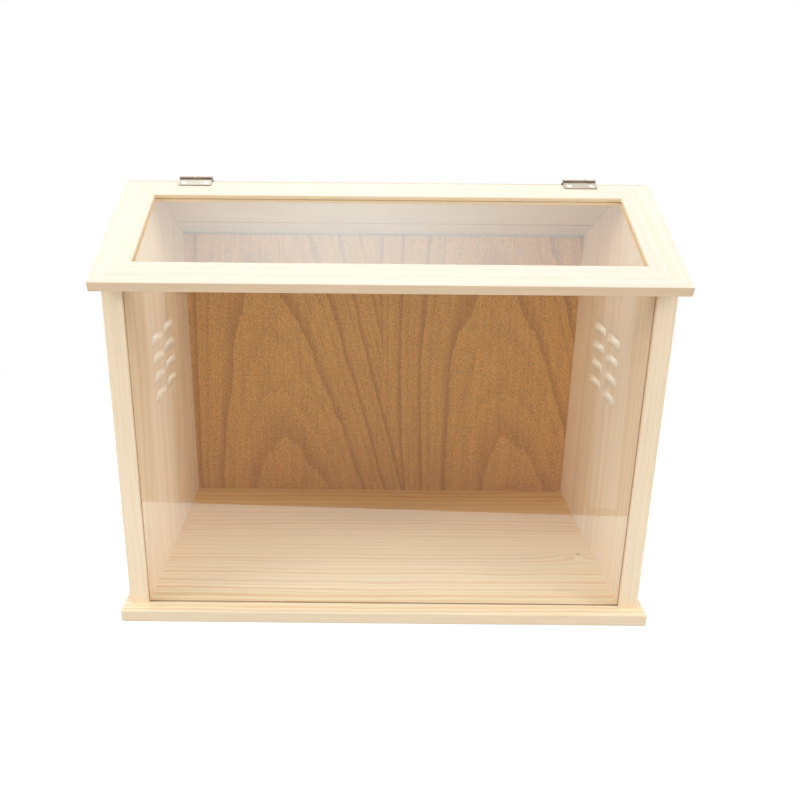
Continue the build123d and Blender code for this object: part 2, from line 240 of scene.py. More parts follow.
class NodeGraph:
    """A node tree with short calls for the nodes that the finishes and fasteners use."""

    def __init__(self, tree):
        self.tree = tree

    def feed(self, socket, value):
        """Links a socket to a field or to a list of them, or sets its constant."""
        if isinstance(value, list):
            for part in value:
                self.feed(socket, part)
        elif isinstance(value, Field):
            self.tree.links.new(value.socket, socket)
        else:
            socket.default_value = value

    def node(self, kind, inputs=None, **options):
        """Adds a node, sets its options and feeds the inputs that are named or numbered."""
        made = self.tree.nodes.new(kind)
        for name, value in options.items():
            setattr(made, name, value)
        for key, value in (inputs or {}).items():
            self.feed(made.inputs[key], value)
        return made

    def field(self, kind, inputs=None, **options):
        """Adds a node and gives its first output."""
        return Field(self, self.node(kind, inputs, **options).outputs[0])

    def fields(self, kind, inputs=None, **options):
        """Adds a node and gives all its outputs by name."""
        made = self.node(kind, inputs, **options)
        return {socket.name: Field(self, socket) for socket in made.outputs}

    def give(self, outputs):
        """Feeds the outputs of a node group by name, which ends it."""
        self.node("NodeGroupOutput", outputs)
        return self.tree

    def math(self, operation, *values):
        return self.field("ShaderNodeMath", dict(enumerate(values)), operation=operation)

    def largest(self, first, *others):
        for other in others:
            first = self.math("MAXIMUM", first, other)
        return first

    def shade(self, colour, factor):
        """A colour made lighter or darker."""
        return self.field("ShaderNodeVectorMath", {0: colour, "Scale": factor}, operation="SCALE")

    def length(self, vector):
        return self.fields("ShaderNodeVectorMath", {0: vector}, operation="LENGTH")["Value"]

    def split(self, vector):
        return list(self.fields("ShaderNodeSeparateXYZ", {0: vector}).values())

    def join(self, x, y, z):
        return self.field("ShaderNodeCombineXYZ", {0: x, 1: y, 2: z})

    def place(self):
        """The point of the surface in the model's own frame."""
        return self.fields("ShaderNodeTexCoord")["Object"]

    def turned(self, vector, turn, slide=0.0):
        """A vector turned, and then slid along y."""
        inputs = {"Vector": vector, "Rotation": turn, "Location": (0, slide, 0)}
        return self.field("ShaderNodeMapping", inputs)

    def noise(self, vector, scale=1.0, detail=2.0):
        return self.field("ShaderNodeTexNoise", {"Vector": vector, "Scale": scale, "Detail": detail})

    def random(self, number):
        """Three random values from 0 to 1 that depend on a whole number."""
        made = self.fields("ShaderNodeTexWhiteNoise", {"W": number}, noise_dimensions="1D")
        return self.split(made["Color"])

    def span(self, value, start, end, low=0.0, high=1.0, smooth=False):
        """From start to end while value goes from low to high, on a straight or a smooth line."""
        inputs = {"Value": value, "From Min": low, "From Max": high, "To Min": start, "To Max": end}
        line = "SMOOTHSTEP" if smooth else "LINEAR"
        return self.field("ShaderNodeMapRange", inputs, interpolation_type=line)

    def swing(self, value, reach):
        """From -reach to reach while value goes from 0 to 1."""
        return self.span(value, -reach, reach)

    def rise(self, value, low, high):
        """0 below low and 1 above high, with a smooth rise between."""
        return self.span(value, 0.0, 1.0, low, high, smooth=True)

    def fall(self, value, low, high):
        """1 below low and 0 above high, with a smooth fall between."""
        return self.span(value, 1.0, 0.0, low, high, smooth=True)

    def blend(self, share, first, second):
        """Two colours mixed."""
        sockets = by_identifier(self.node("ShaderNodeMix", data_type="RGBA"))
        self.feed(sockets["Factor_Float"], share)
        self.feed(sockets["A_Color"], first)
        self.feed(sockets["B_Color"], second)
        return Field(self, sockets["Result_Color"])

    def group(self, tree, **inputs):
        """Places a shader node group. Inputs are its socket names with _ for a space."""
        named = {name.replace("_", " "): value for name, value in inputs.items()}
        return self.fields("ShaderNodeGroup", named, node_tree=tree)

    def smudge(self, vector, scale):
        return self.group(handling_group(), Vector=vector, Scale=scale)["Smudge"]


def by_identifier(node):
    """The sockets of a node in which several share a name."""
    return {socket.identifier: socket for socket in (*node.inputs, *node.outputs)}


def opaque(colour):
    return (*colour, 1.0)


def new_group(name, inputs, outputs, kind="ShaderNodeTree"):
    """A node group with named sockets: its graph, and its inputs as fields."""
    tree = bpy.data.node_groups.new(name, kind)
    for way, labels in (("INPUT", inputs), ("OUTPUT", outputs)):
        for label, socket_kind in labels.items():
            tree.interface.new_socket(label, in_out=way, socket_type="NodeSocket" + socket_kind)
    graph = NodeGraph(tree)
    return graph, graph.fields("NodeGroupInput")


def wood_fibre_group():
    """Fine fibre and broad streaks from -1 to 1, and pores from 0 to 1, along x, for any wood."""
    if tree := bpy.data.node_groups.get("Wood fibre"):
        return tree
    outputs = {"Fibre": "Float", "Streak": "Float", "Pore": "Float"}
    graph, given = new_group("Wood fibre", {"Vector": "Vector"}, outputs)
    place = given["Vector"]
    made = {
        "Fibre": graph.span(graph.noise(place * FIBRE_FINENESS, detail=3), -1, 1, *NOISE_RANGE),
        "Streak": graph.span(graph.noise(place * STREAK_FINENESS, detail=2), -1, 1, *NOISE_RANGE),
        "Pore": graph.rise(graph.noise(place * PORE_FINENESS, detail=1), *PORE_EDGE),
    }
    return graph.give(made)


def handling_group():
    """Soft smudges where a surface has been touched, from 0 to 1."""
    if tree := bpy.data.node_groups.get("Handling"):
        return tree
    rub_stretch = (3, 1, 1)
    rub_fineness = 6
    smudge_edge = (0.16, 0.36)
    graph, given = new_group("Handling", {"Vector": "Vector", "Scale": "Float"}, {"Smudge": "Float"})
    patches = graph.noise(given["Vector"], given["Scale"], detail=4)
    rubs = graph.noise(given["Vector"] * rub_stretch, given["Scale"] * rub_fineness, detail=2)
    return graph.give({"Smudge": graph.rise(patches * rubs, *smudge_edge)})


def kerf_group():
    """1 inside a box, such as a sawn groove, and 0 outside it, with a soft change just inside its faces."""
    if tree := bpy.data.node_groups.get("Kerf"):
        return tree
    inputs = {"Vector": "Vector", "Middle": "Vector", "Half Size": "Vector", "Softness": "Float"}
    graph, given = new_group("Kerf", inputs, {"Inside": "Float"})
    past = abs(given["Vector"] - given["Middle"]) - given["Half Size"]
    furthest = graph.largest(*graph.split(past))
    return graph.give({"Inside": graph.fall(furthest, given["Softness"] * -1, 0.0)})


def sawn_pine_group():
    """Pine cut from logs and glued from staves, with its length on x, width on y and thickness on z.

    Growth rings lie about a pith under each stave, so faces show arches and lines, and ends show arcs.
    """
    if tree := bpy.data.node_groups.get("Sawn pine"):
        return tree
    log_offset = 3.7
    years_apart = 31
    weather_step = 0.4
    weather_reach = 0.9
    tones = {"Fibre": 0.035, "Streak": 0.03, "Pore": -0.04}
    end_darkness = 0.14
    glue_darkness = 0.16
    glue_reach = 0.00035
    fibre_relief = 0.35
    line_relief = 0.5

    numbers = (
        "Seed", "Stave Width", "Ring Spacing", "Ring Shift", "Pith Near", "Pith Far",
        "Lean", "Heart Radius", "Line Strength", "Tone Spread", "End Grain",
    )
    inputs = {"Vector": "Vector", **dict.fromkeys(numbers, "Float")}
    inputs.update(dict.fromkeys(("Early", "Late", "Heart"), "Color"))
    graph, given = new_group("Sawn pine", inputs, {"Colour": "Color", "Height": "Float", "Line": "Float"})
    x, y, z = graph.split(given["Vector"])
    stave_width = given["Stave Width"]
    across = y / stave_width
    within = graph.math("FRACT", across) - 0.5
    stave = graph.math("FLOOR", across) + given["Seed"]
    first, second, third = graph.random(stave)

    # The pith's place under each stave, and how the log leans along the board
    aside = within * stave_width + graph.span(first, given["Pith Near"], given["Pith Far"])
    lean = x * graph.swing(third, 1) * given["Lean"]
    below = z + graph.span(second, *PITH_DEPTH) + lean
    radius = graph.length(graph.join(aside, below, 0.0))
    along = x + stave * log_offset
    for squeeze, fineness, reach in GRAIN_WAVES:
        wave = graph.noise(graph.join(along, y * squeeze, z * squeeze), fineness)
        radius += graph.swing(wave, reach)
    radius += given["Ring Shift"]

    # Rings of good and poor years differ in width, and each darkens slowly and ends sharply
    rings = radius / given["Ring Spacing"]
    weather = graph.noise(graph.join(rings * weather_step, stave, 0.0), detail=1)
    rings += graph.swing(weather, weather_reach)
    part = graph.math("FRACT", rings)
    year = graph.random(graph.math("FLOOR", rings) + stave * years_apart)[0]
    fibre = graph.group(wood_fibre_group(), Vector=graph.join(along, y, z))
    line = graph.rise(part, *LINE_DARKENS) * graph.fall(part, *LINE_ENDS)
    line *= graph.span(year, FAINTEST_YEAR, 1.0)
    line *= graph.span(fibre["Streak"], FAINTEST_STREAK, 1.0, -1, 1)

    # Painted shade about the pith from the Heart colour, growth lines, and what makes them lighter or darker:
    # stave, fibre, sawn ends and glue
    painted_shade = graph.fall(radius, *[given["Heart Radius"] * share for share in PAINTED_SHADE_EDGE])
    ground = graph.blend(painted_shade, given["Early"], given["Heart"])
    tint = graph.blend(line * given["Line Strength"], opaque(WHITE), given["Late"] / given["Early"])
    tone = (first - 0.5) * given["Tone Spread"] + 1.0
    for name, strength in tones.items():
        tone += fibre[name] * strength
    tone -= given["End Grain"] * end_darkness
    to_joint = (0.5 - abs(within)) * stave_width
    tone -= graph.span(to_joint, glue_darkness, 0.0, 0.0, glue_reach)
    relief = fibre["Fibre"] * fibre_relief + line * line_relief
    return graph.give({"Colour": ground * tint * tone, "Height": relief, "Line": line})


# Materials


class Finish(NodeGraph):
    """The graph of a new material."""

    def __init__(self, name):
        self.material = bpy.data.materials.new(name)
        self.material.use_nodes = True
        self.material.node_tree.nodes.clear()
        super().__init__(self.material.node_tree)

    def surface(self, inputs, height, depth):
        """The surface shader with its relief, not yet linked to an output."""
        normal = self.field("ShaderNodeBump", {"Height": height, "Distance": depth})
        return self.field("ShaderNodeBsdfPrincipled", {**inputs, "Normal": normal})

    def end(self, shader):
        """Links the output and gives the finished material."""
        self.node("ShaderNodeOutputMaterial", {"Surface": shader})
        return self.material


def dress(material, *nodes):
    """Gives CAD nodes a material."""
    for name in nodes:
        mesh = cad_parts[name].data
        mesh.materials.clear()
        mesh.materials.append(material)


def turned_bounds(node, turn):
    """The low and high corners of a CAD node's box in a turned frame."""
    places = [Euler(turn).to_matrix() @ vertex.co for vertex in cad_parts[node].data.vertices]
    low = Vector(min(place[axis] for place in places) for axis in range(3))
    high = Vector(max(place[axis] for place in places) for axis in range(3))
    return low, high


# A box in a turned frame, and the wood's colour inside it
Cut = namedtuple("Cut", "turn middle half_size colour softness")


def cut_box(turn, bounds, margin, colour, softness=0.0001):
    """A cut that is wider than its bounds by a margin on each axis."""
    low = bounds[0] - Vector(margin)
    high = bounds[1] + Vector(margin)
    return Cut(turn, (low + high) / 2, (high - low) / 2, opaque(colour), softness)


def groove_shade_cut(node, settings):
    """Painted shade inside the groove that holds an upright panel in the base board and the side panels."""
    margin = (0.0008, 0.0002, 0.0008)
    return cut_box(LENGTH_ON_X, turned_bounds(node, LENGTH_ON_X), margin, settings.kerf)


def seam_cut(node, turn, place, settings):
    """An open joint between two staves on a board's underside."""
    half_width = 0.0012
    softness = 0.0008
    margin = (0.001, 0, 0.001)
    low, high = turned_bounds(node, turn)
    low.y = place - half_width
    high.y = place + half_width
    high.z = low.z
    return cut_box(turn, (low, high), margin, settings.seam, softness)


def vent_light_cut(node, settings):
    """Painted light on the walls of the vent slots, which lie between a side panel's faces and well inside
    its edges.
    """
    margin = (-0.0002, -0.06, -0.08)
    softness = 0.006
    return cut_box(LENGTH_ON_X, turned_bounds(node, LENGTH_ON_X), margin, settings.vent_wall_light, softness)


def lid_cuts(settings):
    """The lid pane's groove and the walls of the lid's opening, whose raw wood colour is made lighter as
    painted light against their shade.
    """
    groove_margin = (0.0008, 0.0008, 0.0002)
    wall_margin = (0.0002, 0.0002, 0.02)
    low, high = turned_bounds("lid_pane", LID_RAIL)
    groove = cut_box(LID_RAIL, (low, high), groove_margin, settings.lid_raw_edge_and_light)
    low.x = turned_bounds("lid_left_stile", LID_RAIL)[1].x
    high.x = turned_bounds("lid_right_stile", LID_RAIL)[0].x
    low.y = turned_bounds("lid_front_rail", LID_RAIL)[1].y
    high.y = turned_bounds("lid_back_rail", LID_RAIL)[0].y
    return [groove, cut_box(LID_RAIL, (low, high), wall_margin, settings.lid_raw_edge_and_light)]


def dress_pine(
    node, settings, turn, early, late, lines, rim=None, cuts=(), knot_place=None, slide=0.0, **growth
):
    """Gives a board its sanded pine, with its sawn edges, its cuts and perhaps a knot.

    The turn and the slide lay the grain along the board, lines is the strength of its growth lines, rim is
    the colour of its sawn edges where they differ, a darker colour that is painted shade, and growth holds
    inputs of the sawn pine group, whose Heart inputs can paint shade about the pith.
    """
    square_on = (0.7, 0.95)
    edge_lines = 0.4
    knot_stretch = (0.5, 1.0, 0.0)
    knot_edge = (0.0005, 0.0015)
    swirl_decay = -110
    swirl_reach = 0.018
    graph = Finish(node.replace("_", " ").capitalize() + " pine")
    place = graph.fields("ShaderNodeTexCoord")
    vector = graph.turned(place["Object"], turn, slide)
    to_end, to_edge, _ = graph.split(graph.turned(place["Normal"], turn))
    end_grain = graph.rise(abs(to_end), *square_on)
    edge_grain = graph.rise(abs(to_edge), *square_on)
    shift = 0.0
    if knot_place:
        reach = graph.length((vector - knot_place) * knot_stretch)
        shift = graph.math("EXPONENT", reach * swirl_decay) * swirl_reach
    # Sawn edges take the rim colour, which is painted shade where it is darker than the faces
    wood = graph.group(
        sawn_pine_group(),
        Vector=vector,
        Ring_Shift=shift,
        End_Grain=end_grain,
        Line_Strength=graph.span(edge_grain, lines, edge_lines * lines),
        Early=graph.blend(edge_grain, opaque(early), opaque(rim or early)),
        Late=opaque(late),
        # Without a Heart Radius in growth, the Heart's painted shade is too small to reach the board
        **{"Heart": opaque(late), "Heart_Radius": 0.001, **growth},
    )
    colour = wood["Colour"]
    if knot_place:
        colour = graph.blend(graph.fall(reach, *knot_edge), colour, opaque(settings.knot))
    # Cuts lay painted shade in grooves, painted light on vent walls and in the lid's opening, and a dark
    # joint
    for cut in cuts:
        turned = graph.turned(place["Object"], cut.turn)
        box = {"Middle": cut.middle, "Half_Size": cut.half_size, "Softness": cut.softness}
        kerf = graph.group(kerf_group(), Vector=turned, **box)
        colour = graph.blend(kerf["Inside"], colour, cut.colour)
    dullness = 0.55 - wood["Line"] * 0.10 - graph.smudge(vector, scale=9.0) * 0.06
    inputs = {"Base Color": colour, "Roughness": dullness, "Specular IOR Level": 0.35}
    dress(graph.end(graph.surface(inputs, wood["Height"], WOOD_RELIEF)), node)


def plywood_material(settings, lowest, highest):
    """Peeled veneer: two flames side by side, fine upright fibre, a few specks and a pale core."""
    flame_top = 0.217
    first_flame_x = 0.104
    flame_lean = 0.14
    sway_stretch = (1, 1, 0.45)
    sway_aside = 0.008
    sway_down = 0.03
    ragged_stretch = (1, 1, 0.14)
    ragged_reach = 0.02
    line_edge = 0.05
    faintest_line = 0.5
    broad_band, plain_band = 0.95, 0.5
    broad_depth, plain_depth = 0.9, 0.35
    fleck_fineness = (1000, 1000, 450)
    tones = {"Fibre": 0.08, "Streak": 0.035, "Pore": -0.16}
    fleck_tone = 0.30
    speck_stretch = (1, 1, 0.7)
    speck_scale = 17.0
    speck_edge = (0.012, 0.03)
    speck_chance = (0.72, 0.74)
    speck_strength = 0.75
    veneer_thickness = 0.0007
    graph = Finish("Plywood back")
    place = graph.place()
    x, y, z = graph.split(place)

    # The lines of a peeled log stand in flames: parabolas on leaning axes, one over the other
    slow = graph.noise(place * sway_stretch, scale=7.0)
    ragged = graph.noise(place * ragged_stretch, scale=110.0, detail=3)
    height = z - flame_top
    aside = x - first_flame_x + height * flame_lean + graph.swing(slow, sway_aside)
    aside = graph.math("PINGPONG", aside, settings.flame_pitch / 2)
    crown = height + aside * aside / settings.flame_breadth
    crown = crown - graph.swing(slow, sway_down) + graph.swing(ragged, ragged_reach)
    rings = crown / settings.ring_step
    part = graph.math("FRACT", rings)
    ring = graph.math("FLOOR", rings)

    # Every third line is broad and dark, and the ones between are narrower and paler
    plain = graph.math("FLOORED_MODULO", ring, 3)
    band_end = graph.span(plain, broad_band, plain_band)
    band = graph.rise(part, 0.0, line_edge) * graph.fall(part, line_edge, band_end)
    band *= graph.span(plain, broad_depth, plain_depth)
    band *= graph.span(graph.random(ring)[0], faintest_line, 1.0)
    colour = graph.blend(band, opaque(settings.light), opaque(settings.dark))

    fibre = graph.group(wood_fibre_group(), Vector=graph.turned(place, UPRIGHT))
    fleck = graph.noise(place * fleck_fineness, detail=3)
    tone = graph.span(fleck, 1 - fleck_tone, 1 + fleck_tone, *NOISE_RANGE)
    for name, strength in tones.items():
        tone += fibre[name] * strength
    colour *= tone

    # Specks, and the core ply between the two veneers
    cells = graph.fields("ShaderNodeTexVoronoi", {"Vector": place * speck_stretch, "Scale": speck_scale})
    chosen = graph.rise(graph.split(cells["Color"])[0], *speck_chance)
    speck = graph.fall(cells["Distance"], *speck_edge) * chosen * speck_strength
    colour = graph.blend(speck, colour, opaque(settings.speck))
    depth = abs(y - (lowest[1] + highest[1]) / 2)
    core = graph.math("LESS_THAN", depth, (highest[1] - lowest[1]) / 2 - veneer_thickness)
    colour = graph.blend(core, colour, opaque(settings.core))
    relief = fibre["Fibre"] * 0.5 - fibre["Pore"]
    dullness = graph.span(fibre["Fibre"], 0.55, 0.68, -1, 1)
    inputs = {"Base Color": colour, "Roughness": dullness, "Specular IOR Level": 0.3}
    return graph.end(graph.surface(inputs, relief, WOOD_RELIEF))


def acrylic_material(settings):
    """Acrylic sheet that lets a share of the lamps' light through each face, with faint handling marks."""
    mark_roughness = 0.03
    clearness = 0.985
    ripple_scale = 14.0
    ripple_depth = 0.00002
    graph = Finish("Clear acrylic")
    place = graph.place()
    inputs = {
        "Base Color": opaque(settings.acrylic),
        "Roughness": graph.span(graph.smudge(place, scale=11.0), 0.0, mark_roughness),
        "IOR": 1.49,
        "Transmission Weight": 1.0,
    }
    glass = graph.surface(inputs, graph.noise(place, ripple_scale, detail=1), ripple_depth)
    path = graph.fields("ShaderNodeLightPath")
    passes = graph.largest(path["Is Shadow Ray"], path["Is Diffuse Ray"])
    clear = graph.field("ShaderNodeBsdfTransparent", {"Color": opaque([clearness] * 3)})
    return graph.end(graph.field("ShaderNodeMixShader", {0: passes, 1: glass, 2: clear}))


def hinge_material(settings, hinge_line):
    """Nickel plating, brushed along the hinge; the leaves' darker colour is painted shade and the barrels'
    lighter colour painted light.
    """
    brush_fineness = (120, 6000, 6000)
    barrel_edge = (0.0017, 0.0022)
    stained_share = 0.7
    graph = Finish("Plated hinge")
    place = graph.place()
    brushed = graph.noise(place * brush_fineness)
    smudge = graph.smudge(place, scale=160.0)
    from_line = graph.length((place - hinge_line) * (0, 1, 1))
    barrel = graph.fall(from_line, *barrel_edge) * graph.span(smudge, 1.0, stained_share)
    inputs = {
        "Base Color": graph.blend(barrel, opaque(settings.leaf), opaque(settings.barrel)),
        "Metallic": 1.0,
        "Roughness": graph.span(brushed, 0.20, 0.34, *NOISE_RANGE) + smudge * 0.12,
    }
    return graph.end(graph.surface(inputs, brushed, METAL_RELIEF))


def zinc_material(settings):
    """Bright zinc plating of the screws, brads and corner nails."""
    stained_share = 0.72
    graph = Finish("Zinc plating")
    place = graph.place()
    grains = graph.noise(place, scale=2600.0)
    smudge = graph.smudge(place, scale=220.0)
    inputs = {
        "Base Color": graph.shade(settings.zinc, graph.span(smudge, 1.0, stained_share)),
        "Metallic": 1.0,
        "Roughness": graph.span(grains, 0.22, 0.42, *NOISE_RANGE),
    }
    return graph.end(graph.surface(inputs, grains, METAL_RELIEF))


# Fasteners


def add_object(name, data):
    """A new object in the scene."""
    made = bpy.data.objects.new(name, data)
    bpy.context.scene.collection.objects.link(made)
    return made


def head_places(node, axis):
    """The middle of each head's face in a group of CAD fasteners that point along one axis."""
    same_place = 1e-6
    same_height = 1e-5
    shape = bmesh.new()
    shape.from_mesh(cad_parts[node].data)
    bmesh.ops.remove_doubles(shape, verts=shape.verts, dist=same_place)
    places = []
    seen = set()
    for start in shape.verts:
        if start in seen:
            continue
        seen.add(start)
        island = [start]
        for vertex in island:
            for edge in vertex.link_edges:
                other = edge.other_vert(vertex)
                if other not in seen:
                    seen.add(other)
                    island.append(other)
        top = max(vertex.co.dot(axis) for vertex in island)
        face = [vertex.co for vertex in island if top - vertex.co.dot(axis) < same_height]
        places.append([(min(c[i] for c in face) + max(c[i] for c in face)) / 2 for i in range(3)])
    shape.free()
    return places


def fastener_group(name):
    """A geometry node group with the inputs of all fasteners."""
    sizes = ("Length", "Radius", "Head Radius", "Head Height", "Thread Pitch")
    inputs = {"Places": "Geometry", "Axis": "Vector", **dict.fromkeys(sizes, "Float"), "Finish": "Material"}
    return new_group(name, inputs, {"Fasteners": "Geometry"}, "GeometryNodeTree")


def plant_fasteners(graph, given, parts):
    """Ends a fastener tree: one fastener on each place, turned to the axis and spun by chance."""
    spin_seed = 4
    whole = graph.field("GeometryNodeJoinGeometry", {0: parts})
    upright = graph.field("FunctionNodeAlignRotationToVector", {"Vector": given["Axis"]}, axis="Z")
    chance = by_identifier(graph.node("FunctionNodeRandomValue", data_type="FLOAT"))
    graph.feed(chance["Max_001"], pi)
    graph.feed(chance["Seed"], spin_seed)
    angle = Field(graph, chance["Value_001"])
    spin = graph.field("FunctionNodeAxisAngleToRotation", {"Axis": (0, 0, 1), "Angle": angle})
    turned = graph.field("FunctionNodeRotateRotation", {0: upright, 1: spin}, rotation_space="LOCAL")
    inputs = {"Points": given["Places"], "Instance": whole, "Rotation": turned}
    planted = graph.field("GeometryNodeInstanceOnPoints", inputs)
    real = graph.field("GeometryNodeRealizeInstances", {0: planted})
    finished = graph.field("GeometryNodeSetMaterial", {"Geometry": real, "Material": given["Finish"]})
    return graph.give({"Fasteners": finished})


def moved(graph, part, height):
    """A part lifted by a height along z."""
    offset = graph.join(0.0, 0.0, height)
    return graph.field("GeometryNodeTransform", {"Geometry": part, "Translation": offset})


def shank_parts(graph, given, core, head_height):
    """A fastener's core from under its head to its tip, and the length of the core's straight part."""
    sides = 20
    tip = given["Radius"] * 2.0
    reach = given["Length"] - tip - head_height
    shank = graph.field("GeometryNodeMeshCylinder", {"Vertices": sides, "Radius": core, "Depth": reach})
    shank = moved(graph, shank, (head_height + reach * 0.5) * -1)
    cone = {"Vertices": sides, "Radius Top": core, "Radius Bottom": 0.0, "Depth": tip}
    point = moved(graph, graph.field("GeometryNodeMeshCone", cone), given["Length"] * -1)
    return [shank, point], reach


def countersunk_screw_tree():
    """Screws with a countersunk head, a cross recess and a helical thread."""
    graph, given = fastener_group("Countersunk screws")
    head_height = given["Head Height"]
    cone = {"Radius Top": given["Head Radius"], "Radius Bottom": given["Radius"], "Depth": head_height}
    head = graph.field("GeometryNodeMeshCone", {"Vertices": 40, **cone})
    head = moved(graph, head, head_height * -1)

    # The cross recess, cut to most of the head's height
    long_side = given["Head Radius"] * 1.1
    short_side = given["Head Radius"] * 0.28
    deep = head_height * 1.6
    sizes = (graph.join(long_side, short_side, deep), graph.join(short_side, long_side, deep))
    bars = [graph.field("GeometryNodeMeshCube", {"Size": size}) for size in sizes]
    cut = {"Mesh 1": head, "Mesh 2": bars}
    head = graph.field("GeometryNodeMeshBoolean", cut, operation="DIFFERENCE", solver="EXACT")

    # The thread stands on a core that is thinner than the screw
    core = given["Radius"] * 0.74
    parts, reach = shank_parts(graph, given, core, head_height)
    turns = reach / given["Thread Pitch"]
    spiral = {"Resolution": 18, "Rotations": turns, "Start Radius": core, "End Radius": core, "Height": reach}
    helix = graph.field("GeometryNodeCurveSpiral", spiral)
    ridge = graph.field("GeometryNodeCurvePrimitiveCircle", {"Resolution": 3, "Radius": core * 0.3})
    sweep = {"Curve": helix, "Profile Curve": ridge, "Fill Caps": True}
    thread = moved(graph, graph.field("GeometryNodeCurveToMesh", sweep), (reach + head_height) * -1)
    return plant_fasteners(graph, given, [head, *parts, thread])


def headed_brad_tree():
    """Brads with a flat round head and a point."""
    graph, given = fastener_group("Headed brads")
    head_height = given["Head Height"]
    disc = {"Vertices": 32, "Radius": given["Head Radius"], "Depth": head_height}
    head = moved(graph, graph.field("GeometryNodeMeshCylinder", disc), head_height * -0.5)
    parts, _ = shank_parts(graph, given, given["Radius"], head_height)
    return plant_fasteners(graph, given, [head, *parts])


def drive(name, tree, body, node, axis, finish, sizes):
    """Runs a fastener tree on a CAD group's places and leaves one plain mesh that stands for the group."""
    sharp_edge = radians(35)
    points = bpy.data.meshes.new(name + "_places")
    points.from_pydata(head_places(node, axis), [], [])
    piece = add_object(name, points)
    modifier = piece.modifiers.new("Fasteners", "NODES")
    modifier.node_group = tree
    values = {**sizes, "Axis": axis, "Finish": finish}
    for item in tree.interface.items_tree:
        if item.in_out == "INPUT" and item.name in values:
            modifier[item.identifier] = values[item.name]
    evaluated = piece.evaluated_get(bpy.context.evaluated_depsgraph_get())
    piece.data = bpy.data.meshes.new_from_object(evaluated)
    piece.modifiers.remove(piece.modifiers["Fasteners"])
    piece.data.name = name
    piece.data.shade_smooth()
    piece.data.set_sharp_from_angle(angle=sharp_edge)
    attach(piece, body)
    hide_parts(node)


# Stage

# Light that a card adds about a place: full on its plateau, and none past its reach on x and y
Glow = namedtuple("Glow", "place reach plateau colour strength")


def seen_straight_on(graph):
    """1 for rays from the camera and for those that metal and acrylic send on, else 0."""
    path = graph.fields("ShaderNodeLightPath")
    return graph.largest(*[path[f"Is {kind} Ray"] for kind in ("Camera", "Glossy", "Transmission")])


def lay_flat(name, height, corners, material):
    """A four-cornered sheet of the stage."""
    mesh = bpy.data.meshes.new(name)
    mesh.from_pydata([(x, y, height) for x, y in corners], [], [(0, 1, 2, 3)])
    mesh.materials.append(material)
    sheet = add_object(name, mesh)
    return sheet


def lay_floor(stage):
    """A pale floor that keeps the cage's shadow and turns to plain white further out."""
    half = 6.0
    below = -0.0003
    speckle_scale = 60.0
    speckle_tones = (0.985, 1.015)
    lift_strength = 0.45
    white_from, white_past = 0.32, 0.75
    graph = Finish("Floor")
    place = graph.place()
    seen = seen_straight_on(graph)
    speckle = graph.span(graph.noise(place, speckle_scale, detail=3), *speckle_tones, *NOISE_RANGE)
    matt = graph.field("ShaderNodeBsdfDiffuse", {"Color": graph.shade(stage.floor, speckle)})
    lift = graph.field("ShaderNodeEmission", {"Strength": seen * lift_strength})
    lit = graph.field("ShaderNodeAddShader", {0: matt, 1: lift})
    white = graph.field("ShaderNodeEmission")
    far = graph.rise(graph.length(place), white_from, white_past) * seen
    material = graph.end(graph.field("ShaderNodeMixShader", {0: far, 1: lit, 2: white}))
    lay_flat("Floor", below, [(-half, -half), (half, -half), (half, half), (-half, half)], material)


def hold_card(name, card, colour, strength, *glows):
    """A card that only reflections show: a bright one gives glare, and a dark one keeps it away."""
    graph = Finish(name)
    place = graph.place()
    shader = graph.field("ShaderNodeEmission", {"Color": opaque(colour), "Strength": strength})
    for glow in glows:
        reach_x, reach_y = glow.reach
        away = graph.length((place - (*glow.place, 0)) * (1 / reach_x, 1 / reach_y, 0))
        added = graph.fall(away, glow.plateau, 1.0) * glow.strength
        lit = graph.field("ShaderNodeEmission", {"Color": opaque(glow.colour), "Strength": added})
        shader = graph.field("ShaderNodeAddShader", {0: shader, 1: lit})
    held = lay_flat(name, *card, graph.end(shader))
    for ray in ("camera", "diffuse", "transmission", "shadow"):
        setattr(held, "visible_" + ray, False)


def fill_world(scene, stage):
    """White where it is seen, and an even ambient light elsewhere."""
    world = bpy.data.worlds.new("Studio")
    world.use_nodes = True
    world.node_tree.nodes.clear()
    scene.world = world
    graph = NodeGraph(world.node_tree)
    ambient = graph.field("ShaderNodeBackground", {"Color": opaque(WHITE), "Strength": stage.ambient})
    white = graph.field("ShaderNodeBackground", {"Color": opaque(WHITE), "Strength": 1.0})
    mix = graph.field("ShaderNodeMixShader", {0: seen_straight_on(graph), 1: ambient, 2: white})
    graph.node("ShaderNodeOutputWorld", {"Surface": mix})


def hang_softbox(name, place, target, size, power):
    """A rectangular lamp that points at a target."""
    light = bpy.data.lights.new(name, "AREA")
    light.shape = "RECTANGLE"
    light.size, light.size_y = size
    light.energy = power
    lamp = add_object(name, light)
    lamp.location = place
    lamp.rotation_euler = (Vector(target) - Vector(place)).to_track_quat("-Z", "Y").to_euler()
    lamp.visible_camera = False


def aim_camera(scene):
    """The camera at the photograph's place, with its lens and middle in pixels of the 800 x 800 image."""
    image_width = 800.0
    focal_pixels = 872.5
    middle_pixels = (362.5, 427.0)
    place = (-0.01675, -0.6952, 0.3707)
    look_down = radians(20.25)
    look_aside = radians(0.07)
    tilt = radians(0.51)
    data = bpy.data.cameras.new("Camera")
    data.sensor_width = 36.0
    data.lens = data.sensor_width * focal_pixels / image_width
    data.shift_x = 0.5 - middle_pixels[0] / image_width
    data.shift_y = middle_pixels[1] / image_width - 0.5
    camera = add_object("Camera", data)
    yaw = Matrix.Rotation(look_aside, 4, "Z")
    pitch = Matrix.Rotation(pi / 2 - look_down, 4, "X")
    roll = Matrix.Rotation(tilt, 4, "Z")
    camera.matrix_world = Matrix.Translation(place) @ yaw @ pitch @ roll
    scene.camera = camera


# Operators


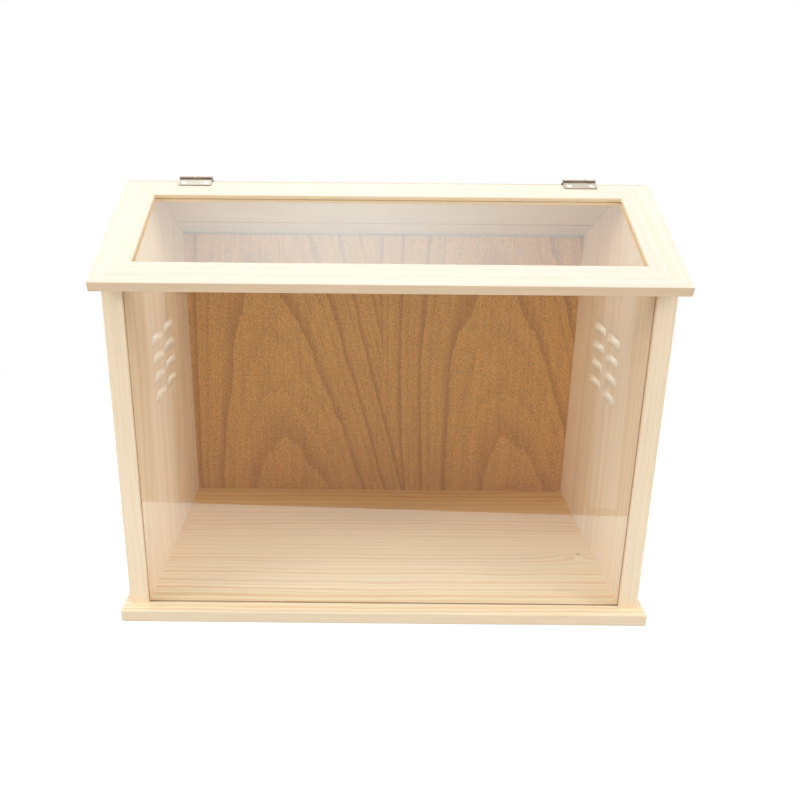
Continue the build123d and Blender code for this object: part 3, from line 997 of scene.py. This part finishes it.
class CAGE_OT_finish_base_board(bpy.types.Operator):
    """Gives the base board its pine, with a pin knot near one end"""

    bl_idname = "cage.finish_base_board"
    bl_label = "Finish Base Board"

    def execute(self, context):
        pine = context.scene.cage_pine
        dress_pine(
            "base_board", pine, LENGTH_ON_X, pine.base_early, pine.base_late, lines=1.35, rim=pine.base_rim_shade,
            # The groove carries painted shade
            cuts=[groove_shade_cut("front_pane", pine)], knot_place=(0.169, 0.099, 0.0), slide=0.125,
            # Heart and Heart Radius paint shade that grows darker towards the back of the base, about a pith
            # behind it
            Seed=3, Stave_Width=0.25, Ring_Spacing=pine.ring_spacing, Heart=opaque(pine.base_back_shade),
            Heart_Radius=0.15, Pith_Near=-0.14, Pith_Far=-0.14, Lean=0.008, Tone_Spread=0.04,
        )
        return {"FINISHED"}


class CAGE_OT_finish_side_panels(bpy.types.Operator):
    """Gives the side panels their upright pine staves"""

    bl_idname = "cage.finish_side_panels"
    bl_label = "Finish Side Panels"

    def execute(self, context):
        pine = context.scene.cage_pine
        # Both grooves carry painted shade
        grooves = [groove_shade_cut("front_pane", pine), groove_shade_cut("back_panel", pine)]
        for hand, seed in (("left", 11), ("right", 24)):
            node = f"{hand}_side_panel"
            dress_pine(
                node, pine, UPRIGHT, pine.early, pine.late, lines=0.55,
                # The grooves carry painted shade and the vent walls painted light
                cuts=[*grooves, vent_light_cut(node, pine)],
                Seed=seed, Stave_Width=pine.stave_width, Ring_Spacing=pine.ring_spacing * 0.8,
                Pith_Near=0.03, Pith_Far=0.10, Lean=0.02, Tone_Spread=0.16,
            )
        return {"FINISHED"}


class CAGE_OT_finish_rear_roof(bpy.types.Operator):
    """Gives the rear roof board its pine, with its length along the ridge and an open joint underneath"""

    bl_idname = "cage.finish_rear_roof"
    bl_label = "Finish Rear Roof"

    def execute(self, context):
        pine = context.scene.cage_pine
        joint = -0.04
        node = "rear_roof_board"
        # The rear roof board's darker pine is painted shade
        dress_pine(
            node, pine, REAR_SLOPE, pine.roof_shaded_early, pine.roof_shaded_late, lines=0.65,
            cuts=[seam_cut(node, REAR_SLOPE, joint, pine)], slide=-joint,
            Seed=40, Stave_Width=pine.stave_width, Ring_Spacing=pine.ring_spacing * 0.7,
            Pith_Near=-0.02, Pith_Far=0.08, Lean=0.04, Tone_Spread=0.14,
        )
        return {"FINISHED"}


class CAGE_OT_finish_back_panel(bpy.types.Operator):
    """Gives the back panel its plywood figure"""

    bl_idname = "cage.finish_back_panel"
    bl_label = "Finish Back Panel"

    def execute(self, context):
        dress(plywood_material(context.scene.cage_plywood, *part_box("back_panel")), "back_panel")
        return {"FINISHED"}


class CAGE_OT_finish_lid_frame(bpy.types.Operator):
    """Gives the lid's mitred rails and stiles their pine, each with the grain along its own length"""

    bl_idname = "cage.finish_lid_frame"
    bl_label = "Finish Lid Frame"

    def execute(self, context):
        pine = context.scene.cage_pine
        # The rails' sawn edges take the darker lid rim colour, which is painted shade; the stiles' edges keep
        # their earlywood
        members = {
            "lid_front_rail": (LID_RAIL, pine.lid_rim_shade, 51),
            "lid_back_rail": (LID_RAIL, pine.lid_rim_shade, 63),
            "lid_left_stile": (LID_STILE, pine.lid_early, 77),
            "lid_right_stile": (LID_STILE, pine.lid_early, 85),
        }
        cuts = lid_cuts(pine)
        for node, (turn, rim, seed) in members.items():
            dress_pine(
                node, pine, turn, pine.lid_early, pine.lid_late, lines=0.6, rim=rim, cuts=cuts,
                Seed=seed, Stave_Width=1.0, Ring_Spacing=pine.ring_spacing,
                Pith_Near=0.01, Pith_Far=0.06, Lean=0.03, Tone_Spread=0.03,
            )
        return {"FINISHED"}


class CAGE_OT_fit_panes(bpy.types.Operator):
    """Gives the front pane and the lid's pane clear acrylic"""

    bl_idname = "cage.fit_panes"
    bl_label = "Fit Panes"

    def execute(self, context):
        dress(acrylic_material(context.scene.cage_hardware), "front_pane", "lid_pane")
        return {"FINISHED"}


class CAGE_OT_finish_hinges(bpy.types.Operator):
    """Gives the hinge leaves and pins their plating"""

    bl_idname = "cage.finish_hinges"
    bl_label = "Finish Hinges"

    def execute(self, context):
        low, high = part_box("left_hinge_pin")
        material = hinge_material(context.scene.cage_hardware, (low + high) / 2)
        for hand in ("left", "right"):
            dress(material, f"{hand}_hinge_lid_leaf", f"{hand}_hinge_roof_leaf", f"{hand}_hinge_pin")
        return {"FINISHED"}


class CAGE_OT_drive_screws(bpy.types.Operator):
    """Makes the hinge screws and the base screws, one group for each CAD group"""

    bl_idname = "cage.drive_screws"
    bl_label = "Drive Screws"

    def execute(self, context):
        hardware = context.scene.cage_hardware
        hinge_sizes = {"Length": 0.006, "Radius": 0.001, "Head Radius": 0.0017, "Head Height": 0.0007}
        hinge_sizes["Thread Pitch"] = hardware.hinge_thread_pitch
        base_sizes = {"Length": 0.030, "Radius": 0.00175, "Head Radius": 0.0035, "Head Height": 0.00175}
        base_sizes["Thread Pitch"] = hardware.base_thread_pitch
        finish = zinc_material(hardware)
        tree = countersunk_screw_tree()
        drive("hinge_screws_lid", tree, "lid", "lid_leaf_screws", LID_NORMAL, finish, hinge_sizes)
        drive("hinge_screws_roof", tree, "carcass", "roof_leaf_screws", ROOF_NORMAL, finish, hinge_sizes)
        drive("screws_base", tree, "carcass", "base_screws", UNDERSIDE, finish, base_sizes)
        return {"FINISHED"}


class CAGE_OT_drive_brads(bpy.types.Operator):
    """Makes the rear roof's brads and plates the lid's corner nails"""

    bl_idname = "cage.drive_brads"
    bl_label = "Drive Brads"

    def execute(self, context):
        finish = bpy.data.materials["Zinc plating"]
        sizes = {"Length": 0.028, "Radius": 0.0006, "Head Radius": 0.001, "Head Height": 0.0006}
        drive("brads_roof", headed_brad_tree(), "carcass", "roof_brads", ROOF_NORMAL, finish, sizes)
        dress(finish, "lid_corner_nails")
        return {"FINISHED"}


class CAGE_OT_set_stage(bpy.types.Operator):
    """Sets the floor, the white background, the softboxes, the cards that panes reflect and the camera"""

    bl_idname = "cage.set_stage"
    bl_label = "Set Stage"

    def execute(self, context):
        stage = context.scene.cage_stage
        context.scene.view_settings.view_transform = "Standard"
        lay_floor(stage)
        fill_world(context.scene, stage)
        hang_softbox(
            "Top softbox", place=(-0.12, -0.26, 2.6), target=(0, 0, 0.1),
            size=(2.2, 0.95), power=stage.top_power,
        )
        for name, side in (("Left softbox", -1), ("Right softbox", 1)):
            hang_softbox(
                name, place=(side * 1.85, -0.85, 1.1), target=(0, 0, 0.15),
                size=(1.2, 1.2), power=stage.side_power,
            )
        lid_glow = Glow(
            place=(0, 1.2), reach=(1.8, 0.9), plateau=0.55, colour=stage.lid_tone, strength=stage.lid_glare
        )
        lid_spot = Glow(
            place=(-0.08, 0.95), reach=(0.94, 0.8), plateau=0.0,
            colour=stage.lid_tone, strength=stage.lid_hot_spot,
        )
        front_glow = Glow(
            place=(0, -0.34), reach=(0.6, 0.27), plateau=0.2, colour=stage.glare, strength=stage.front_glare
        )
        hold_card("Lid card", LID_CARD, WHITE, 1.0, lid_glow, lid_spot)
        hold_card("Front card", FRONT_CARD, WHITE, 1.0, front_glow)
        hold_card("Dark card", DARK_CARD, WHITE, 0.0)
        hold_card("Left card", LEFT_CARD, stage.glare, stage.side_glare)
        hold_card("Right card", RIGHT_CARD, stage.glare, stage.side_glare)
        aim_camera(context.scene)
        return {"FINISHED"}


# Sidebar panel and registration

OPERATORS = (
    CAGE_OT_finish_base_board,
    CAGE_OT_finish_side_panels,
    CAGE_OT_finish_rear_roof,
    CAGE_OT_finish_back_panel,
    CAGE_OT_finish_lid_frame,
    CAGE_OT_fit_panes,
    CAGE_OT_finish_hinges,
    CAGE_OT_drive_screws,
    CAGE_OT_drive_brads,
    CAGE_OT_set_stage,
)


class CAGE_PT_dresser(bpy.types.Panel):
    """Lists the settings and the operators that dress the cage"""

    bl_idname = "CAGE_PT_dresser"
    bl_label = "Hamster Cage"
    bl_space_type = "VIEW_3D"
    bl_region_type = "UI"
    bl_category = "Cage"

    def draw(self, context):
        for name, kind in SETTINGS.items():
            box = self.layout.box()
            for field in kind.__annotations__:
                box.prop(getattr(context.scene, name), field)
        for operator in OPERATORS:
            self.layout.operator(operator.bl_idname)


CLASSES = (*SETTINGS.values(), *OPERATORS, CAGE_PT_dresser)


def register():
    for kind in CLASSES:
        bpy.utils.register_class(kind)
    for name, kind in SETTINGS.items():
        setattr(bpy.types.Scene, name, PointerProperty(type=kind))


def unregister():
    for name in SETTINGS:
        delattr(bpy.types.Scene, name)
    for kind in reversed(CLASSES):
        bpy.utils.unregister_class(kind)


def main():
    """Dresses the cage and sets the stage."""
    register()
    bpy.ops.cage.finish_base_board()
    bpy.ops.cage.finish_side_panels()
    bpy.ops.cage.finish_rear_roof()
    bpy.ops.cage.finish_back_panel()
    bpy.ops.cage.finish_lid_frame()
    bpy.ops.cage.fit_panes()
    bpy.ops.cage.finish_hinges()
    bpy.ops.cage.drive_screws()
    bpy.ops.cage.drive_brads()
    bpy.ops.cage.set_stage()


if __name__ == "__main__":
    main()
